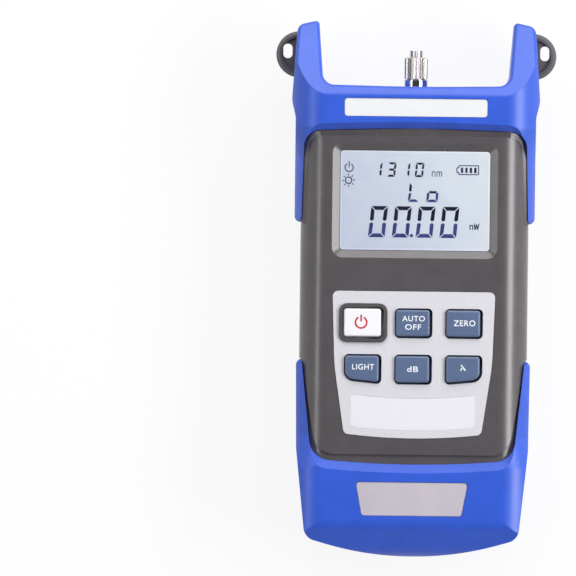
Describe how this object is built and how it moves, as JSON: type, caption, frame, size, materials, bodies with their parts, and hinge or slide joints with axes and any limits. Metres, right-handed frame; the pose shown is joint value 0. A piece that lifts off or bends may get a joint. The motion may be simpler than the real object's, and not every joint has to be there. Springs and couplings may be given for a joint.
{
  "type": "optical power meter",
  "caption": "Handheld fibre optical power meter with guard horns round a screw-on adapter, a backlit display, a membrane keypad panel and a battery door on its back.",
  "frame": {"origin": "under the middle of the back, on the surface that the meter lies on", "axes": "+Z out of the front face, +Y towards the optical adapter, +X right in front view"},
  "size_m": [0.0996, 0.19, 0.048],
  "materials": {
    "blue_plastic": "satin",
    "grey_plastic": "satin",
    "black_plastic": "satin",
    "clear_lens": "gloss",
    "lcd_glass": "gloss",
    "white_plastic": "satin",
    "overlay_grey": "satin",
    "silicone": "matt",
    "plate_white": "satin",
    "plate_silver": "satin",
    "board_green": "satin",
    "chip_black": "matt",
    "nickel": "satin",
    "chrome_plate": "polished",
    "spring_steel": "bright",
    "zinc_steel": "bright",
    "cell_jacket": "gloss",
    "key_white": "satin",
    "key_blue": "satin"
  },
  "bodies": {
    "housing": {"top_cap": "blue_plastic", "bottom_boot": "blue_plastic", "left_strap_lug": "black_plastic", "right_strap_lug": "black_plastic", "front_shell": "grey_plastic", "rear_shell": "grey_plastic", "display_lens": "clear_lens", "lcd_panel": "lcd_glass", "backlight_panel": "white_plastic", "lcd_bracket": "white_plastic", "keypad_overlay": "overlay_grey", "keypad_mat": "silicone", "top_name_plate": "plate_white", "bottom_name_plate": "plate_silver", "main_board": "board_green", "processor_chip": "chip_black", "amplifier_chip": "chip_black", "photodiode_can": "nickel", "adapter_socket": "chrome_plate", "battery_springs": "spring_steel", "battery_contacts": "spring_steel", "board_screws": "zinc_steel", "housing_screws": "zinc_steel", "left_cell": "cell_jacket", "middle_cell": "cell_jacket", "right_cell": "cell_jacket"},
    "power_key": {"power_key": "key_white"},
    "auto_off_key": {"auto_off_key": "key_blue"},
    "zero_key": {"zero_key": "key_blue"},
    "light_key": {"light_key": "key_blue"},
    "decibel_key": {"decibel_key": "key_blue"},
    "wavelength_key": {"wavelength_key": "key_blue"},
    "battery_door": {"battery_door": "grey_plastic"},
    "split_sleeve": {"split_sleeve": "nickel"},
    "adapter_barrel": {"adapter_barrel": "nickel"}
  },
  "joints": [
    {"name": "power_press", "type": "slide", "parent": "housing", "child": "power_key", "axis": [0, 0, -1], "range_m": [0, 0.0008], "stiffness_N_per_m": 1200},
    {"name": "auto_off_press", "type": "slide", "parent": "housing", "child": "auto_off_key", "axis": [0, 0, -1], "range_m": [0, 0.0008], "stiffness_N_per_m": 1200},
    {"name": "zero_press", "type": "slide", "parent": "housing", "child": "zero_key", "axis": [0, 0, -1], "range_m": [0, 0.0008], "stiffness_N_per_m": 1200},
    {"name": "light_press", "type": "slide", "parent": "housing", "child": "light_key", "axis": [0, 0, -1], "range_m": [0, 0.0008], "stiffness_N_per_m": 1200},
    {"name": "decibel_press", "type": "slide", "parent": "housing", "child": "decibel_key", "axis": [0, 0, -1], "range_m": [0, 0.0008], "stiffness_N_per_m": 1200},
    {"name": "wavelength_press", "type": "slide", "parent": "housing", "child": "wavelength_key", "axis": [0, 0, -1], "range_m": [0, 0.0008], "stiffness_N_per_m": 1200},
    {"name": "battery_door_hinge", "type": "hinge", "parent": "housing", "child": "battery_door", "pos_m": [0, -0.0555, 0.0035], "axis": [-1, 0, 0], "range_deg": [0, 75]},
    {"name": "adapter_lift", "type": "slide", "parent": "housing", "child": "split_sleeve", "axis": [0, 1, 0], "range_m": [0, 0.00375]},
    {"name": "adapter_turn", "type": "hinge", "parent": "split_sleeve", "child": "adapter_barrel", "pos_m": [0, 0.078, 0.024], "axis": [0, 1, 0], "range_deg": [0, 1800]}
  ],
  "couplings": [
    {"joint": "adapter_turn", "follows": "adapter_lift", "rad_per_m": 8377.6}
  ]
}
